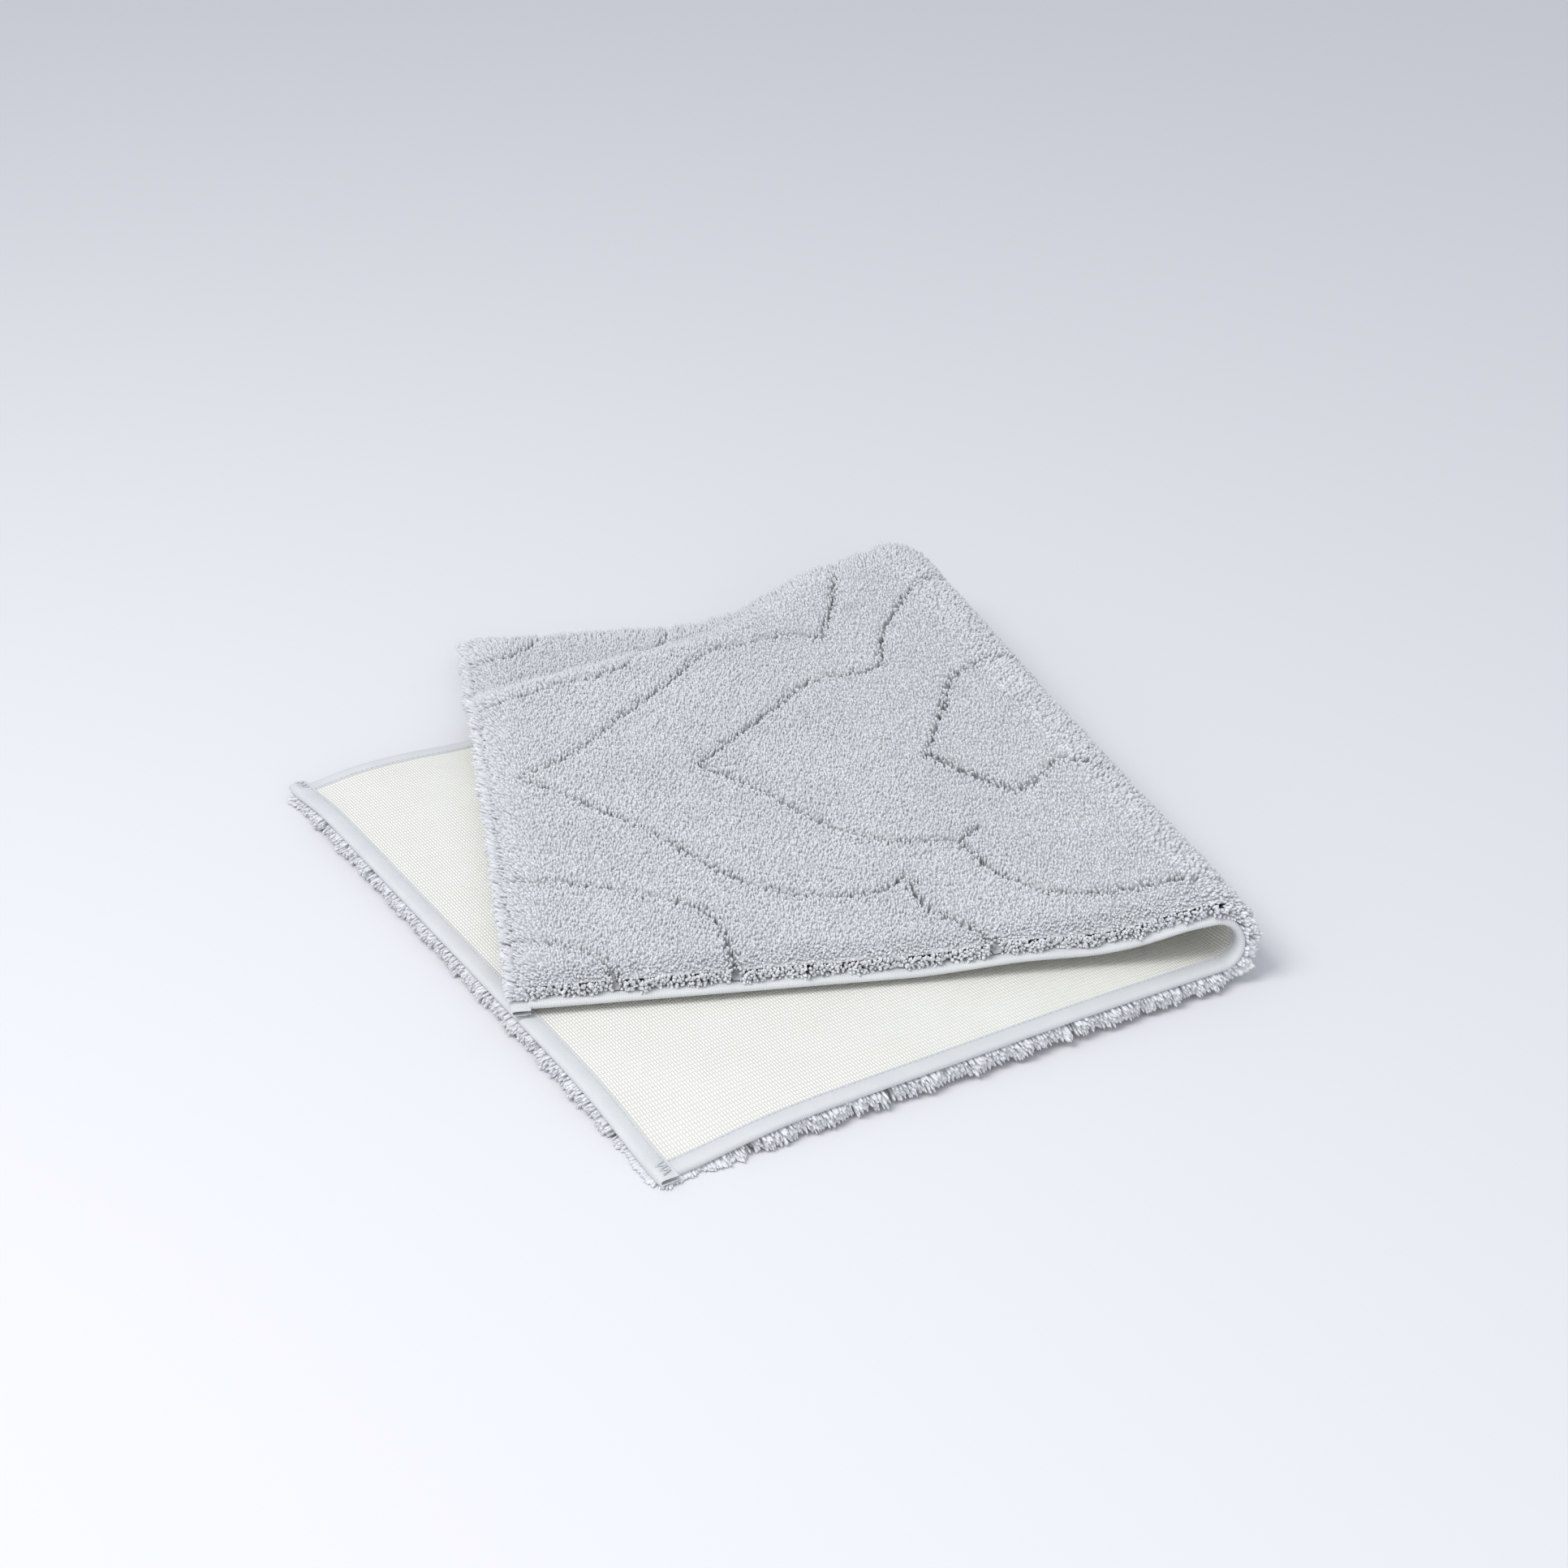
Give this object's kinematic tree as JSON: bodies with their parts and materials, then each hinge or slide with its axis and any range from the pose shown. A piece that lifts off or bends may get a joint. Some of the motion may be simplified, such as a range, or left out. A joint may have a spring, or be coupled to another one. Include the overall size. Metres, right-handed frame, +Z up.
{
  "type": "bath mat",
  "caption": "Rectangular tufted bath mat with a carved leaf pattern, coated back and taped edges, folded once back to back; it opens out flat.",
  "frame": {"origin": "centre of the folded mat's bounding box, on the floor", "axes": "+X points out past the fold, +Y runs along the start of the fold towards its looser end, +Z up"},
  "size_m": [0.5086, 0.6746, 0.0775],
  "materials": {
    "backing": "matt woven cloth with an off-white rubbery coat",
    "ground_cloth": "plain woven cloth",
    "tape": "ribbed woven tape",
    "seam": "spun sewing thread",
    "pile": "soft cut yarn tufts with a slight sheen"
  },
  "bodies": {
    "lower_half": {"lower_backing": "backing", "lower_ground_cloth": "ground_cloth", "lower_front_tape": "tape", "lower_back_tape": "tape", "lower_end_tape": "tape", "lower_front_seam": "seam", "lower_back_seam": "seam", "lower_end_seam": "seam", "lower_front_tack": "seam", "lower_back_tack": "seam", "lower_pile": "pile"},
    "fold_band_1": {"fold_1_backing": "backing", "fold_1_ground_cloth": "ground_cloth", "fold_1_front_tape": "tape", "fold_1_back_tape": "tape", "fold_1_front_seam": "seam", "fold_1_back_seam": "seam", "fold_1_pile": "pile"},
    "fold_band_2": {"fold_2_backing": "backing", "fold_2_ground_cloth": "ground_cloth", "fold_2_front_tape": "tape", "fold_2_back_tape": "tape", "fold_2_front_seam": "seam", "fold_2_back_seam": "seam", "fold_2_pile": "pile"},
    "fold_band_3": {"fold_3_backing": "backing", "fold_3_ground_cloth": "ground_cloth", "fold_3_front_tape": "tape", "fold_3_back_tape": "tape", "fold_3_front_seam": "seam", "fold_3_back_seam": "seam", "fold_3_pile": "pile"},
    "slope_band": {"slope_backing": "backing", "slope_ground_cloth": "ground_cloth", "slope_front_tape": "tape", "slope_back_tape": "tape", "slope_front_seam": "seam", "slope_back_seam": "seam", "slope_pile": "pile"},
    "upper_half": {"upper_backing": "backing", "upper_ground_cloth": "ground_cloth", "upper_front_tape": "tape", "upper_back_tape": "tape", "upper_end_tape": "tape", "upper_front_seam": "seam", "upper_back_seam": "seam", "upper_end_seam": "seam", "upper_front_tack": "seam", "upper_back_tack": "seam", "upper_pile": "pile"}
  },
  "joints": [
    {"name": "unfold", "type": "hinge", "parent": "lower_half", "child": "fold_band_1", "pos_m": [0.22551, -0.00861, 0.0155], "axis": [0, 1, 0], "range_deg": [0, 49.3]},
    {"name": "unfold_2", "type": "hinge", "parent": "fold_band_1", "child": "fold_band_2", "pos_m": [0.2357, -0.00599, 0.02735], "axis": [0.0128, 0.9998, 0.0149], "range_deg": [0, 49.3]},
    {"name": "unfold_3", "type": "hinge", "parent": "fold_band_2", "child": "fold_band_3", "pos_m": [0.23341, -0.00327, 0.0428], "axis": [0.0099, 0.9994, 0.0342], "range_deg": [0, 49.3]},
    {"name": "unfold_4", "type": "hinge", "parent": "fold_band_3", "child": "slope_band", "pos_m": [0.22029, -0.0002, 0.05115], "axis": [-0.0065, 0.999, 0.0445], "range_deg": [0, 49.3]},
    {"name": "level_out", "type": "hinge", "parent": "slope_band", "child": "upper_half", "pos_m": [0.11773, 0.02498, 0.0205], "axis": [0.1483, -0.9889, 0], "range_deg": [0, 17.42]}
  ],
  "couplings": [
    {"joint": "unfold_2", "follows": "unfold", "ratio": 1},
    {"joint": "unfold_3", "follows": "unfold", "ratio": 1},
    {"joint": "unfold_4", "follows": "unfold", "ratio": 1},
    {"joint": "level_out", "follows": "unfold", "ratio": 0.35329}
  ]
}
